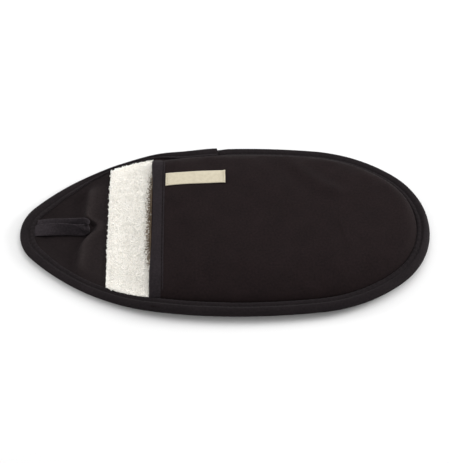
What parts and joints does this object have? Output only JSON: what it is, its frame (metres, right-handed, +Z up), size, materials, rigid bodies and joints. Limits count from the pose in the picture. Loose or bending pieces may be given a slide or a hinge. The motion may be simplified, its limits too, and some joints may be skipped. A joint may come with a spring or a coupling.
{
  "type": "oven mitt",
  "caption": "Flat oval oven mitt with a padded hand pocket, a terry-lined back, bound edges and a hanging loop at its pointed cuff end.",
  "frame": {"origin": "centre of the bounding box in plan, on the flat underside of the back", "axes": "+X from the pointed cuff tip to the round finger end, +Z up out of the hand pocket's front"},
  "size_m": [0.36, 0.185, 0.026],
  "materials": {
    "twill": "matt black cotton twill",
    "tape": "matt black cotton tape",
    "terry": "cream looped cotton terry",
    "wadding": "off-white needled wadding",
    "label_cloth": "cream woven ribbon, bare",
    "thread": "black sewing thread",
    "label_thread": "cream sewing thread"
  },
  "bodies": {
    "mitt": {"back_shell": "twill", "back_batting": "wadding", "back_terry_lining": "terry", "cuff_facing": "twill", "pocket_shell_seam": "twill", "pocket_batting_seam": "wadding", "pocket_terry_seam": "terry", "edge_binding": "tape", "edge_stitching": "thread", "facing_stitching": "thread"},
    "pocket_front": {"pocket_shell": "twill", "pocket_batting": "wadding", "pocket_terry_lining": "terry", "mouth_binding": "tape", "label": "label_cloth", "mouth_stitching": "thread", "label_stitching": "label_thread"},
    "hanging_loop": {"hanging_loop": "tape"}
  },
  "joints": [
    {"name": "pocket_mouth", "type": "hinge", "parent": "mitt", "child": "pocket_front", "pos_m": [0.1675, 0, 0.0072], "axis": [0, 1, 0], "range_deg": [0, 8]},
    {"name": "loop_swing", "type": "hinge", "parent": "mitt", "child": "hanging_loop", "pos_m": [-0.1687, 0.003, 0.0128], "axis": [0, -1, 0], "range_deg": [0, 175]}
  ]
}
